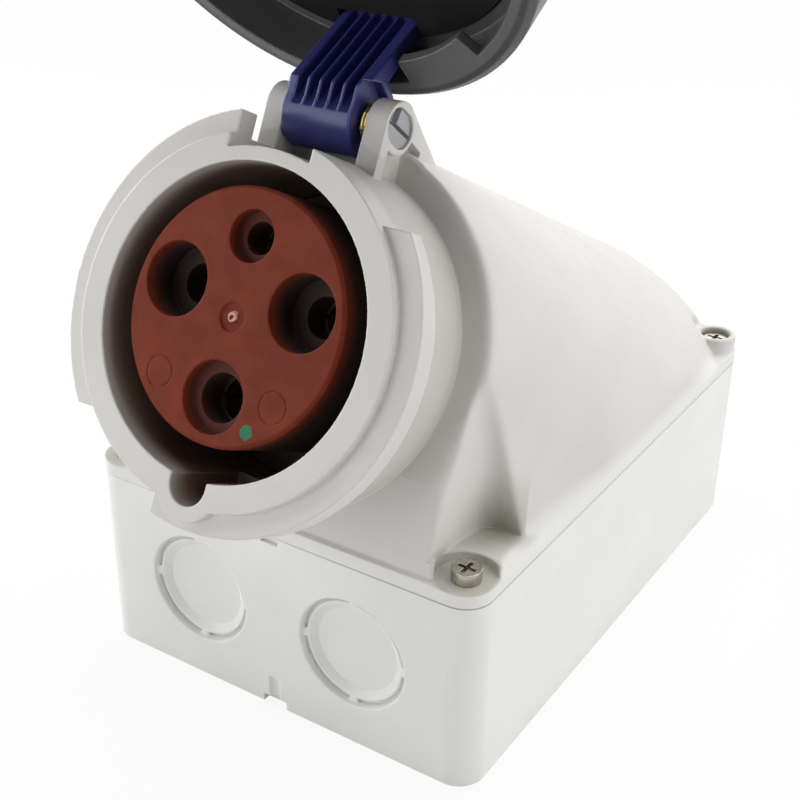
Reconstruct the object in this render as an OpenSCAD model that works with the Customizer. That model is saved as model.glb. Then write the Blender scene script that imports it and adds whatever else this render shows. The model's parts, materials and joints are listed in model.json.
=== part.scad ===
// Surface-mounted industrial wall socket with a hinged bayonet lid.
// Millimetres. Z = 0 is the face against the wall and +Z points out of it.
// -Y is the cable entry side, and X = 0 is the plane of symmetry.

/* [Base box] */
// Width of the base box
base_w = 119.6; // [116:0.2:126]
// Length of the base box
base_l = 169.6; // [166:0.2:180]
// Height of the base box up to the seam
base_h = 53.5; // [48:0.5:64]
// Radius of the upright corners
corner_r = 7.5; // [6.5:0.5:9]
// Wall of the base box
base_wall = 3.2; // [3:0.1:4]
// Floor of the base box
base_floor = 3.5; // [3:0.5:6]

/* [Cable entries] */
// Radius of a knockout
knockout_r = 15.7; // [13:0.1:16.5]
// Distance between the two knockouts
knockout_pitch = 49.4; // [40:0.2:54]
// Height of the knockouts above the wall
knockout_z = 27.6; // [24:0.2:30]
// Depth of the dished knockout disc
knockout_depth = 3; // [2.6:0.1:3.6]

/* [Wall fixing] */
// Spacing of the wall-fixing holes across the box
fix_w = 84; // [76:1:88]
// Spacing of the wall-fixing holes along the box
fix_l = 132; // [120:1:136]
// Diameter of a wall-fixing hole
fix_d = 6.4; // [4.5:0.1:7]

/* [Cover] */
// Height of the rim plate above the seam
rim_h = 4; // [3.5:0.1:5]
// Wall of the cover
cover_wall = 3; // [2.6:0.1:3.2]
// Radius of the hood at the shoulder
hood_r = 50.3; // [49.8:0.1:51.5]
// Half angle of the hood's cone
hood_flare = 7.4; // [6.8:0.05:8]
// Angle by which the hood's axis drops below the collar's axis
hood_droop = 8.1; // [7.6:0.05:8.6]
// Lean of the front wall
front_lean = 9.8; // [8:0.2:11]
// Setback of the front wall from the base
front_setback = 1.8; // [1.4:0.1:2.6]
// Setback of the rear wall from the base
rear_setback = 2.8; // [2:0.1:4]
// Lean of the side walls
side_lean = 5.02; // [4.4:0.02:5.6]
// Angle by which the side walls spread towards the rear
side_splay = 3.83; // [3.4:0.01:4.2]
// Width of the pockets over the front screws
pocket_w = 14.8; // [14:0.1:15.4]
// Length of the pockets over the front screws
pocket_l = 30.3; // [28:0.1:32]
// Slope of the pocket floors, which rise towards the front
ledge_slope = 8.5; // [6:0.1:10]
// Height of the rear screw posts above the rim plate
post_h = 5; // [4.4:0.1:6]

/* [Cover screws] */
// Distance of the cover screws from the sides of the box
screw_inset = 6.9; // [6.6:0.1:7.4]
// Diameter of a cover screw
screw_d = 4; // [3.5:0.1:4.4]
// Diameter of a screw head
screw_head_d = 7.4; // [6.6:0.1:7.8]
// Height of a screw head
screw_head_h = 3.2; // [2.6:0.1:3.4]

/* [Collar] */
// Angle of the socket's axis above the wall plane
tilt = 25.8; // [25:0.1:26.6]
// Distance from the front of the base to the centre of the collar's rim
collar_reach = 11.4; // [10.6:0.1:12.2]
// Height of the collar's rim centre above the seam
collar_rise = 62.3; // [61.5:0.1:64]
// Diameter of the collar's bore
bore_d = 72; // [71:0.2:73]
// Diameter of the collar outside
neck_d = 85; // [84.6:0.2:86]
// Length of the collar from its rim to the shoulder
neck_len = 31; // [30:0.2:32]
// Length of the collar's bore, down to the carrier
tube_len = 40; // [39.4:0.2:41]
// Radius of the keyway
key_r = 5.1; // [4.6:0.1:5.4]
// Wall of the collar around the keyway
key_wall = 3.6; // [3:0.1:3.8]
// Depth of the keyway
key_depth = 26; // [20:0.5:28]

/* [Bayonet wings] */
// Height of the wings over the collar
wing_reach = 5.5; // [5:0.1:6]
// Distance from the collar's rim to the wings
wing_set = 2.2; // [1.8:0.1:2.8]
// Thickness of a wing
wing_t = 5.9; // [5:0.1:6.4]
// Rise of the ramp at the entry end of a wing
wing_ramp = 1.6; // [1:0.1:2]
// Height at which the lower left and upper right wings end
wing_end = 28.4; // [27:0.1:30]

/* [Contact carrier] */
// Gap between the collar's bore and the carrier
plug_gap = 6.5; // [6.2:0.1:6.8]
// Height of the carrier above the collar's axis
carrier_lift = 1.3; // [0.8:0.1:1.6]
// Distance from the collar's rim to the carrier's face
carrier_set = 1.5; // [1:0.1:2.5]
// Radius of the circle of contacts
contact_circle = 18.4; // [17.8:0.1:18.8]
// Angle of the two current contacts above the middle
contact_angle = 15.6; // [12:0.2:18]
// Diameter of the current pins
power_pin_d = 8; // [7.6:0.1:8.2]
// Diameter of the earth pin
earth_pin_d = 10; // [9.6:0.1:10.2]
// Diameter of the pilot pin
pilot_pin_d = 6; // [5.6:0.1:6.2]

/* [Hinge] */
// Height of the hinge axis above the collar
hinge_rise = 9; // [8.8:0.1:9.6]
// Distance of the hinge axis behind the collar's rim
hinge_back = 23.5; // [23:0.1:23.8]
// Half width of the gap between the hinge ears
ear_gap = 11.3; // [11:0.1:12]
// Width of a hinge ear
ear_w = 5.7; // [5.2:0.1:6.2]
// Radius of a hinge ear
ear_r = 6.2; // [5.8:0.1:6.4]
// Radius of the hinge hub
hub_r = 8.4; // [7.8:0.1:8.6]
// Diameter of the hinge pin
pin_d = 5; // [4.6:0.1:5.2]
// Diameter of the spring wire
wire_d = 0.8; // [0.6:0.05:0.9]

/* [Lid] */
// Angle of the open lid from closed
lid_open = 122; // [110:1:124]
// Wall of the bayonet ring
ring_wall = 5.3; // [4.8:0.1:6]
// Gap between the wings and the bayonet ring
ring_gap = 3.2; // [2.8:0.1:3.6]
// Reach of the lugs behind the wings
lug_grip = 2.8; // [2.4:0.1:3]
// Thickness of a lug
lug_t = 2.9; // [2.4:0.1:3.4]
// Thickness of the lid gasket
gasket_t = 3; // [2.4:0.1:3.6]
// Thickness of the lid's flange
flange_t = 5; // [4:0.1:6]

/* [Hidden] */
$fn = 72;

// Clearances
fit = 0.1;
play = 0.3;
pin_fit = 0.06;
over = 1;
far = 3 * base_l;

// Places in the box
half_w = base_w / 2;
half_l = base_l / 2;
rim_top = base_h + rim_h;
post_top = rim_top + post_h;
screw_x = half_w - screw_inset;
screw_y = half_l - screw_inset;
screw_bite = 18;
post_edge = 0.6;
post_r = screw_inset - post_edge;
driver_room = 3.9;
recess_r = screw_head_d / 2 + driver_room;
foot_setback = 1;
seal_w = 1.4;
seal_h = 1.4;
seal_inset = (base_wall - seal_w) / 2;

// Socket frame: x across, y up the collar's face, z out along its axis
socket_y = -half_l - collar_reach;
socket_z = base_h + collar_rise;
bore_r = bore_d / 2;
neck_r = neck_d / 2;
wing_r = neck_r + wing_reach;
wing_rear = wing_set + wing_t;
key_drop = 1.2;
key_v = -bore_r - key_drop;
slot_r = (bore_r + neck_r) / 2;

// Hinge
hinge_v = neck_r + hinge_rise;
hinge_s = -hinge_back;
pin_r = pin_d / 2;
ear_x = ear_gap + ear_w;
plug_rim = 0.8;
plug_half = 1.2;
plug_r = ear_r - plug_rim - plug_half;
plug_turn = -12;
plug_depth = 4.4;
plug_set = 0.8;
pin_end = 1.6;
spring_room = 3.1;
spring_bush = 1;
hub_side = 0.5;
hub_x0 = -ear_gap + hub_side;
hub_x1 = ear_gap - spring_room;
hub_room = 0.6;

// Carrier stack behind the collar
carrier_r = bore_r - plug_gap;
stack_s = -tube_len;
carrier_seal_t = 1;
carrier_flange_t = 4;
carrier_base_t = 17;
flange_edge = 1.2;
flange_r = neck_r + flange_edge;
carrier_flange_s = stack_s - carrier_seal_t;
carrier_rear_s = carrier_flange_s - carrier_flange_t;
carrier_face_s = -carrier_set;
fixing_r = slot_r;
fixing_screw_r = 1.5;
fixing_head_r = 2.8;
fixing_head_h = 2.2;
fixing_depth = 14;
middle_depth = 11;

// Contacts: place, pin, recess radius, recess depth and seat depth of each
contact_wall = 1.7;
pin_room = 0.75;
ring_groove = 0.8;
ring_back = 4;
live_at = [contact_circle * cos(contact_angle), carrier_lift + contact_circle * sin(contact_angle)];
neutral_at = [-live_at[0], live_at[1]];
earth_at = [0, carrier_lift - contact_circle];
pilot_at = [0, carrier_lift + contact_circle];
power_fit = [power_pin_d, 8.7, 9.6, 17];
earth_fit = [earth_pin_d, 8.4, 3.5, 11.5];
pilot_fit = [pilot_pin_d, 6, 3.5, 11.5];
CONTACTS = [[live_at, power_fit], [neutral_at, power_fit], [earth_at, earth_fit], [pilot_at, pilot_fit]];
terminal_len = 15;
terminal_lip = 1;
terminal_screw_r = 2;
terminal_set = 9.3;
terminal_s = carrier_rear_s - terminal_set;
wire_share = 0.62;

// Lid, measured with the lid closed on the collar
ring_in = wing_r + ring_gap;
ring_r = ring_in + ring_wall;
lug_in = wing_r - lug_grip;
lug_front = -wing_rear - play;
ring_rear = lug_front - lug_t;
gasket_s = 0.25;
flange_s = gasket_s + gasket_t;
flange_gap = 1.4;
flange_out = ring_in - flange_gap;
flange_top = flange_s + flange_t;
lip_t = 2;
lip_grip = 1.4;
lip_in = flange_out - lip_grip;
lip_play = 0.4;
gasket_r = lip_in - lip_play;
dome_edge = 4.6;
dome_r = flange_out - dome_edge;
dome_h = 3.2;
lug_angle = 27;
lug_start = 48;

// Arm between the hub and the lid: its knee, the foot of its front face and its outer side
arm_lift = 1.95;
arm_low = slot_r + arm_lift;
arm_lean = 5.3;
knee_back = 1.3;
knee = [arm_low, hinge_s + knee_back];
knee_reach = norm(knee - [hinge_v, hinge_s]);
knee_angle = atan2(knee[1] - hinge_s, knee[0] - hinge_v) + acos(hub_r / knee_reach);
arm_foot = [hinge_v, hinge_s] + (hub_r - lip_play) * [cos(knee_angle), sin(knee_angle)];
arm_top = [arm_low + tan(arm_lean) * (flange_s - knee[1]), flange_s];
arm_high = sqrt(pow(gasket_r, 2) - pow(hub_x0, 2));
arm_side = 2.3;

// World place of a point given in the socket frame
function world_y(v, s) = socket_y - cos(tilt) * s + sin(tilt) * v;
function world_z(v, s) = socket_z + sin(tilt) * s + cos(tilt) * v;

// Frames and shared shapes

module at_socket() {
    translate([0, socket_y, socket_z]) rotate([90 - tilt, 0, 0]) children();
}

module at_lid() {
    at_socket() translate([0, hinge_v, hinge_s]) rotate([-lid_open, 0, 0])
        translate([0, -hinge_v, -hinge_s]) children();
}

module disc(r, s0, s1) {
    translate([0, 0, s0]) cylinder(r = r, h = s1 - s0);
}

module tube(r_out, r_in, s0, s1) {
    difference() {
        disc(r_out, s0, s1);
        disc(r_in, s0 - over, s1 + over);
    }
}

// A side profile, drawn as height and depth, stretched across the width
module across(x0, x1) {
    translate([x0, 0, 0]) rotate([90, 0, 90]) linear_extrude(x1 - x0) children();
}

module hinge_rod(r, x0, x1) {
    translate([x0, hinge_v, hinge_s]) rotate([0, 90, 0]) cylinder(r = r, h = x1 - x0);
}

// The space behind a plane through the origin whose outward side is +Z
module below() {
    translate([-far, -far, -2 * far]) cube(2 * far);
}

module both_sides() {
    children();
    mirror([1, 0, 0]) children();
}

module four_corners(x, y) {
    for (sx = [-1, 1], sy = [-1, 1])
        translate([sx * x, sy * y, 0]) children();
}

// Plan of the box with rounded corners, set in from its sides
module plan(inset) {
    w = half_w - inset;
    l = half_l - inset;
    r = corner_r - inset;
    square([2 * (w - r), 2 * l], center = true);
    square([2 * w, 2 * (l - r)], center = true);
    four_corners(w - r, l - r) circle(r);
}

// Base box

module knockout_cut() {
    step = 1.2;
    dish_r = knockout_r - step;
    dish_taper = 2.6;
    break_w = 0.9;
    break_left = 0.3;
    bridge = 10;
    disc(knockout_r, -over, step);
    translate([0, 0, step - break_left])
        cylinder(r1 = dish_r, r2 = dish_r - dish_taper, h = knockout_depth - step + break_left);
    for (a = [0:90:270])
        rotate(a + bridge / 2) rotate_extrude(angle = 90 - bridge)
            translate([dish_r, 0]) square([break_w, knockout_depth - break_left]);
}

module base_box() {
    entry_back = 2.4;
    entry_boss = knockout_depth + entry_back;
    entry_rim = 1.6;
    fix_boss_wall = 3.4;
    fix_boss_r = fix_d / 2 + fix_boss_wall;
    fix_boss_h = 4;
    fix_boss_top = base_floor + fix_boss_h;
    tip_room = 4;
    screw_hole = screw_bite + tip_room;
    mark_r = 2.1;
    mark_h = 9;
    foot_notch = [7.4, 2.2, 2.4];
    seam_notch = [5.4, 1.2, 2.2];
    color("gainsboro") difference() {
        union() {
            difference() {
                linear_extrude(base_h) plan(0);
                translate([0, 0, base_floor]) linear_extrude(base_h) plan(base_wall);
            }
            intersection() {
                linear_extrude(base_h) plan(base_wall / 2);
                four_corners(screw_x, screw_y) cylinder(r = post_r, h = base_h);
            }
            four_corners(fix_w / 2, fix_l / 2) cylinder(r = fix_boss_r, h = fix_boss_top);
            both_sides() translate([knockout_pitch / 2, -half_l + base_wall / 2, knockout_z])
                rotate([-90, 0, 0]) disc(knockout_r + entry_rim, 0, entry_boss - base_wall / 2);
        }
        both_sides() translate([knockout_pitch / 2, -half_l, knockout_z])
            rotate([-90, 0, 0]) knockout_cut();
        four_corners(fix_w / 2, fix_l / 2) disc(fix_d / 2, -over, fix_boss_top + over);
        four_corners(screw_x, screw_y) disc(screw_d / 2, base_h - screw_hole, base_h + over);
        translate([0, -half_l - mark_r / 2, -over]) cylinder(r = mark_r, h = mark_h + over);
        translate([-foot_notch[0] / 2, -half_l - over, -over])
            cube([foot_notch[0], foot_notch[1] + over, foot_notch[2] + over]);
        translate([-seam_notch[0] / 2, -half_l - over, base_h - seam_notch[2]])
            cube([seam_notch[0], seam_notch[1] + over, seam_notch[2] + over]);
    }
}

// Cover

// Cone of the hood, cut square behind the shoulder plane
module hood_cone(inset) {
    ahead = neck_len / 2;
    behind = 2 * base_l;
    slope = tan(hood_flare);
    wall = inset / cos(hood_flare);
    shoulder_edge = 1.4;
    soft = inset > 0 ? 0 : shoulder_edge;
    at_socket() intersection() {
        translate([0, 0, -neck_len]) rotate([-hood_droop, 0, 0])
            translate([0, 0, -behind])
                cylinder(r1 = hood_r + behind * slope - wall, r2 = hood_r - ahead * slope - wall,
                    h = behind + ahead);
        translate([0, 0, -neck_len - inset - behind])
            cylinder(r1 = hood_r - soft + behind, r2 = hood_r - soft, h = behind);
    }
}

// Leaning side walls below the middle of the cone
module hood_legs(inset) {
    mid_y = world_y(0, -neck_len);
    mid_z = world_z(0, -neck_len);
    drop = tan(tilt + hood_droop);
    front_y = mid_y - half_l;
    intersection() {
        across(-half_w, half_w) polygon([[front_y, base_h - over], [front_y, mid_z], [mid_y, mid_z],
            [mid_y + (mid_z - base_h + over) / drop, base_h - over]]);
        side_walls(inset);
    }
}

module side_walls(inset) {
    intersection_for (m = [0, 1])
        mirror([m, 0, 0]) translate([half_w - foot_setback, 0, rim_top])
            rotate([0, 0, -side_splay]) rotate([0, 90 - side_lean, 0])
                translate([0, 0, -inset]) below();
}

// Walls that bound the hood: shoulder plane, front wall, rear wall and the sides at the rear
module hood_limits(inset) {
    side_setback = 0.8;
    intersection() {
        at_socket() translate([0, 0, -neck_len - inset]) below();
        translate([0, -half_l + front_setback, rim_top]) rotate([90 - front_lean, 0, 0])
            translate([0, 0, -inset]) below();
        translate([0, half_l - rear_setback - inset, 0]) rotate([-90, 0, 0]) below();
        width_limit(half_w - side_setback - inset);
    }
}

module width_limit(x) {
    translate([-x, -far, -far]) cube([2 * x, 2 * far, 2 * far]);
}

module hood(inset) {
    foot = inset > 0 ? base_h - over : base_h;
    intersection() {
        union() {
            hood_cone(inset);
            hood_legs(inset);
        }
        hood_limits(inset);
        translate([-far, -far, foot]) cube(2 * far);
    }
}

// Access pocket over a front corner screw: it leans back and outwards as it rises
module corner_pocket(wall) {
    lean_back = 12.9;
    lean_out = 5.1;
    corner = 5;
    r = corner + wall;
    size = half_l;
    translate([half_w - pocket_w - wall, -half_l + pocket_l + wall, rim_top])
        rotate([lean_back, lean_out, 0]) translate([0, 0, -size / 2]) linear_extrude(2 * size) {
            translate([r, -size]) square(size);
            translate([0, -size]) square([size, size - r]);
            translate([r, -r]) circle(r);
        }
}

// The space over the sloping pocket floors
module over_ledges() {
    translate([0, -half_l + pocket_l, rim_top]) rotate([-ledge_slope, 0, 0])
        translate([-far, -far, 0]) cube(2 * far);
}

// Block under a pocket floor, flush with the side of the box beside the screw
module screw_ledge() {
    inner_x = half_w - pocket_w;
    rear_y = -half_l + pocket_l;
    front_y = -half_l + front_setback;
    foot_x = half_w - foot_setback + tan(side_splay) * rear_y;
    difference() {
        translate([0, 0, base_h]) linear_extrude(pocket_l) polygon([
            [inner_x, rear_y], [foot_x, rear_y], [screw_x + post_r, recess_r * sin(45) - screw_y],
            [screw_x, front_y], [inner_x, front_y]]);
        over_ledges();
    }
}

// Round recess for a front screw head, open towards the corner of the box
module head_recess() {
    mouth = recess_r - 2 * fit;
    translate([screw_x, -screw_y, rim_top]) {
        cylinder(r = recess_r, h = far);
        rotate([0, 0, -45]) translate([0, -mouth, 0]) cube([far, 2 * mouth, far]);
    }
}

module collar() {
    disc(neck_r, -tube_len, 0);
    translate([0, key_v, 0]) disc(key_r + key_wall, -tube_len, 0);
    wings();
}

// Two part rings for the bayonet, each with a ramp at its entry end
module wings() {
    ramp_len = 20;
    lead = atan(wing_ramp / ramp_len);
    gap_side = ear_gap - 1;
    difference() {
        tube(wing_r, neck_r - over, -wing_rear, -wing_set);
        translate([-ear_gap, wing_end, -far]) cube([far, far, 2 * far]);
        translate([-gap_side - far, -wing_end - far, -far]) cube([far, far, 2 * far]);
        for (a = [0, 180])
            rotate(a) translate([0, wing_end, -wing_rear + wing_ramp]) rotate([lead, 0, 0])
                translate([0, -ramp_len, -far]) cube([far, ramp_len + far, far]);
    }
}

// Ears with a round eye, a front rib and a fin that runs back to the hood
module hinge_ears() {
    web = 2.8;
    rib = 3.4;
    fin_set = 11;
    fin_back = 22;
    eye_low = 3.2;
    root = 2;
    root_v = slot_r - root;
    top_drop = 0.8;
    top_back = 3;
    sink = 4.5;
    fin_top = [hinge_v + ear_r - top_drop, hinge_s - top_back];
    fin_foot = [hood_r - sink, hinge_s - fin_back];
    both_sides() {
        across(ear_gap, ear_gap + web) polygon([[root_v, hinge_s + ear_r], [hinge_v, hinge_s + ear_r],
            fin_top, fin_foot, [root_v, fin_foot[1]]]);
        across(ear_gap, ear_x) polygon([[root_v, hinge_s - fin_set], [hinge_v - eye_low, hinge_s - fin_set],
            [hinge_v, hinge_s], fin_top, fin_foot, [root_v, fin_foot[1]]]);
        across(ear_gap, ear_x) translate([root_v, hinge_s + ear_r - rib])
            square([hinge_v - root_v, rib]);
        hinge_rod(ear_r, ear_gap, ear_x);
    }
}

module cover_housing() {
    pocket_edge = 1.4;
    rear_pocket_r = post_r + pocket_edge;
    head_room = 0.7;
    color("whitesmoke") difference() {
        union() {
            difference() {
                union() {
                    translate([0, 0, base_h]) linear_extrude(rim_h) plan(0);
                    hood(0);
                    at_socket() hinge_ears();
                }
                difference() {
                    hood(cover_wall);
                    four_corners(screw_x, screw_y) cylinder(r = post_r, h = far);
                    both_sides() corner_pocket(cover_wall);
                }
            }
            both_sides() translate([screw_x, screw_y, 0]) disc(post_r, base_h, post_top);
            both_sides() screw_ledge();
            at_socket() collar();
        }
        both_sides() intersection() {
            corner_pocket(0);
            over_ledges();
        }
        both_sides() head_recess();
        both_sides() translate([screw_x, screw_y, post_top]) cylinder(r = rear_pocket_r, h = far);
        both_sides() translate([screw_x, screw_y, rim_top])
            cylinder(r = screw_head_d / 2 + head_room, h = far);
        four_corners(screw_x, screw_y) disc(screw_d / 2 + fit, base_h - over, rim_top + over);
        seal_groove();
        at_socket() collar_cuts();
    }
}

module seal_groove() {
    translate([0, 0, base_h - over]) linear_extrude(seal_h + fit + over) difference() {
        plan(seal_inset - fit);
        plan(seal_inset + seal_w + fit);
    }
}

// Bore, keyway, hinge slot, pin holes and screw holes of the collar
module collar_cuts() {
    disc(bore_r, -tube_len - over, over);
    keyway(key_r, -key_depth, over);
    difference() {
        translate([-ear_gap, 0, -neck_len]) cube([2 * ear_gap, far, neck_len + over]);
        disc(slot_r, -tube_len, 2 * over);
    }
    hinge_rod(hub_r + hub_room, -ear_gap, ear_gap);
    hinge_rod(pin_r + pin_fit, pin_end - ear_x, ear_x);
    plug_body(plug_r + fit, ear_x - plug_depth, ear_x + over);
    fixing_holes(stack_s - over, stack_s + fixing_depth);
}

// Oval that closes the hinge pin's hole
module plug_body(r, x0, x1) {
    translate([x0, hinge_v, hinge_s]) rotate([0, 90, 0]) rotate(plug_turn) linear_extrude(x1 - x0) {
        square([2 * plug_half, 2 * r], center = true);
        for (m = [-1, 1])
            translate([m * plug_half, 0]) circle(r);
    }
}

// Round-bottomed slot at the lowest point of the bore
module keyway(r, s0, s1) {
    translate([0, key_v, 0]) disc(r, s0, s1);
    translate([-r, key_v, s0]) cube([2 * r, -key_v, s1 - s0]);
}

// Holes in the collar, the seal and the carrier's flange
module fixing_holes(s0, s1) {
    for (a = [45:90:315])
        rotate(a) translate([fixing_r, 0, 0]) disc(fixing_screw_r + fit, s0, s1);
}

module cover_gasket() {
    color("dimgray") translate([0, 0, base_h]) linear_extrude(seal_h) difference() {
        plan(seal_inset);
        plan(seal_inset + seal_w);
    }
}

// Cross-slotted screw standing head up on z = 0
module cross_screw(r, head_r, head_h, length) {
    slot_w = 0.3 * head_r;
    slot_l = 1.3 * head_r;
    difference() {
        union() {
            disc(head_r, 0, head_h);
            disc(r, -length, over / 2);
        }
        for (a = [0, 90])
            rotate(a) translate([-slot_l / 2, -slot_w / 2, head_h * 0.4]) cube([slot_l, slot_w, head_h]);
    }
}

module cover_screws() {
    color("silver") four_corners(screw_x, screw_y) translate([0, 0, rim_top])
        cross_screw(screw_d / 2 - fit, screw_head_d / 2, screw_head_h, rim_h + screw_bite);
}

// Carrier and contacts

module carrier_seal() {
    color("black") at_socket() difference() {
        tube(flange_r, bore_r, carrier_flange_s, stack_s);
        fixing_holes(carrier_flange_s - over, stack_s + over);
    }
}

module contact_carrier() {
    edge = 0.8;
    mark_at = [16.3, -16.5];
    mark_r = 3.8;
    mark_w = 0.35;
    gate_r = 3.4;
    nub_r = 1.25;
    shallow = 0.3;
    color("indianred") at_socket() difference() {
        union() {
            translate([0, carrier_lift, 0]) rotate_extrude() polygon([
                [0, carrier_flange_s - over], [carrier_r, carrier_flange_s - over],
                [carrier_r, carrier_face_s - edge], [carrier_r - edge, carrier_face_s],
                [0, carrier_face_s]]);
            disc(flange_r, carrier_rear_s, carrier_flange_s);
        }
        for (c = CONTACTS)
            translate([c[0][0], c[0][1], 0]) contact_hole(c[1]);
        translate([0, carrier_lift, 0]) {
            tube(gate_r, nub_r, carrier_face_s - 2 * shallow, carrier_face_s + over);
            both_sides() translate([mark_at[0], mark_at[1], 0])
                tube(mark_r, mark_r - mark_w, carrier_face_s - shallow, carrier_face_s + over);
            disc(fixing_screw_r + fit, carrier_rear_s - over, carrier_rear_s + fixing_depth);
        }
        fixing_holes(carrier_rear_s - over, carrier_flange_s + over);
    }
}

// Stepped hole for one contact: wide recess, pin hole and seat for the contact
module contact_hole(size) {
    pin = size[0] / 2;
    disc(size[1], carrier_face_s - size[2], over);
    disc(pin + pin_room, carrier_face_s - size[3], over);
    disc(pin + contact_wall + 2 * fit, carrier_rear_s - over, carrier_face_s - size[3]);
}

module carrier_base() {
    shell = 1.5;
    screw_room = 0.6;
    s0 = carrier_rear_s - carrier_base_t;
    color("gray") at_socket() difference() {
        translate([0, carrier_lift, 0]) disc(carrier_r + shell, s0, carrier_rear_s);
        for (c = CONTACTS)
            translate([c[0][0], c[0][1], 0])
                disc(c[1][0] / 2 + contact_wall + terminal_lip + 2 * fit, s0 - over, carrier_rear_s + over);
        terminal_places() rotate([0, 90, 0]) cylinder(r = terminal_screw_r + screw_room, h = far);
        translate([0, carrier_lift, 0]) disc(fixing_screw_r + fit, s0 - over, carrier_rear_s + over);
    }
}

// Puts a shape at each terminal with +X pointing away from the middle of the carrier
module terminal_places() {
    for (c = CONTACTS)
        translate([c[0][0], c[0][1], terminal_s])
            rotate(atan2(c[0][1] - carrier_lift, c[0][0])) children();
}

module carrier_screws() {
    color("silver") at_socket() {
        for (a = [45:90:315])
            rotate(a) translate([fixing_r, 0, carrier_rear_s]) mirror([0, 0, 1])
                cross_screw(fixing_screw_r, fixing_head_r, fixing_head_h, fixing_depth + carrier_flange_t);
        translate([0, carrier_lift, carrier_rear_s - carrier_base_t]) mirror([0, 0, 1])
            cross_screw(fixing_screw_r, fixing_head_r, fixing_head_h, carrier_base_t + middle_depth);
    }
}

// Slotted contact sleeve with a terminal at its rear
module contact(at, size) {
    pin = size[0] / 2;
    out = pin + contact_wall;
    front = carrier_face_s - size[3];
    rear = carrier_rear_s - terminal_len;
    slit = 0.8;
    slit_len = 14;
    bore_len = 26;
    wire_depth = 12;
    groove_s = front - ring_back;
    at_socket() translate([at[0], at[1], 0]) difference() {
        union() {
            disc(out, carrier_rear_s - over, front);
            disc(out + terminal_lip, rear, carrier_rear_s);
        }
        disc(pin + fit, front - bore_len, front + over);
        disc(wire_share * out, rear - over, rear + wire_depth);
        for (a = [0, 90])
            rotate(a) translate([-slit / 2, -far, front - slit_len]) cube([slit, 2 * far, slit_len + over]);
        tube(out + over, out - ring_groove, groove_s - ring_groove, groove_s + ring_groove);
        rotate(atan2(at[1] - carrier_lift, at[0])) translate([0, 0, terminal_s])
            rotate([0, 90, 0]) cylinder(r = terminal_screw_r + fit, h = far);
    }
}

module live_contact() {
    color("goldenrod") contact(live_at, power_fit);
}

module neutral_contact() {
    color("goldenrod") contact(neutral_at, power_fit);
}

module earth_contact() {
    color("goldenrod") contact(earth_at, earth_fit);
}

module pilot_contact() {
    color("goldenrod") contact(pilot_at, pilot_fit);
}

// Open spring rings that press the slotted contacts together
module contact_rings() {
    wire = ring_groove - fit;
    inset = contact_wall - ring_groove + fit / 2;
    open_ring = 330;
    color("silver") at_socket() for (c = CONTACTS)
        translate([c[0][0], c[0][1], carrier_face_s - c[1][3] - ring_back])
            rotate_extrude(angle = open_ring)
                translate([c[1][0] / 2 + inset, -wire / 2]) square([wire, wire]);
}

module terminal_screws() {
    proud = 0.6;
    slot_w = 0.8;
    slot_depth = 1;
    color("silver") at_socket() for (c = CONTACTS) {
        bite = wire_share * (c[1][0] / 2 + contact_wall);
        top = c[1][0] / 2 + contact_wall + terminal_lip + proud;
        translate([c[0][0], c[0][1], terminal_s])
            rotate(atan2(c[0][1] - carrier_lift, c[0][0])) rotate([0, 90, 0]) difference() {
                disc(terminal_screw_r, bite, top);
                translate([-far, -slot_w / 2, top - slot_depth]) cube([2 * far, slot_w, 2 * slot_depth]);
            }
    }
}

// Lid

module lid_cap() {
    grooves = 5;
    groove_w = 2.6;
    groove_depth = 3.3;
    groove_v = arm_low + groove_depth;
    groove_lean = 2.2;
    side_rib = 2.5;
    pitch = (hub_x1 - hub_x0 - side_rib) / grooves;
    edge = 1.2;
    dish_in = 6;
    dish = 1;
    color("darkslateblue") at_lid() difference() {
        union() {
            rotate_extrude() polygon([[0, flange_s], [flange_out, flange_s], [flange_out, flange_top],
                [dome_r, flange_top], [dome_r, flange_top + dome_h - edge],
                [dome_r - edge, flange_top + dome_h], [0, flange_top + dome_h]]);
            hinge_rod(hub_r, hub_x0, hub_x1);
            hinge_rod(pin_r + spring_bush, hub_x1 - over, ear_gap - play);
            across(hub_x0, hub_x1) polygon([knee, arm_top, arm_top + [0, over], [arm_high, flange_s + over],
                [arm_high, hinge_s + hub_r], [hinge_v, hinge_s + hub_r], [hinge_v, hinge_s], arm_foot]);
            across(hub_x1 - over, hub_x1 + arm_side) arm_extension();
        }
        hinge_rod(pin_r + pin_fit, -far, far);
        for (i = [0:grooves - 1])
            translate([hub_x0 + side_rib + pitch * i, groove_v, hinge_s]) rotate([-groove_lean, 0, 0])
                translate([0, -far, -hub_r]) cube([groove_w, far, hub_r + flange_s - hinge_s]);
        disc(dome_r - dish_in, flange_top + dome_h - dish, flange_top + dome_h + over);
    }
}

// Side of the arm that passes over the spring and comes down behind it
module arm_extension() {
    lift = 2;
    web = 2;
    low = knee + lift * [tan(arm_lean), 1];
    polygon([low, arm_top, arm_top + [0, over], [arm_high, flange_s + over],
        [arm_high, hinge_s + hub_r], [hinge_v, hinge_s + hub_r], [hinge_v, hinge_s + hub_r - web],
        [arm_high - web, hinge_s + hub_r - web]]);
}

module lid_gasket() {
    lip = 0.8;
    land = 2;
    color("black") at_lid() difference() {
        disc(gasket_r, gasket_s, flange_s);
        disc(bore_r - land, gasket_s - over, gasket_s + lip);
        translate([hub_x0 - play, arm_low, gasket_s - over])
            cube([hub_x1 + arm_side - hub_x0 + 2 * play, far, far]);
    }
}

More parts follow.
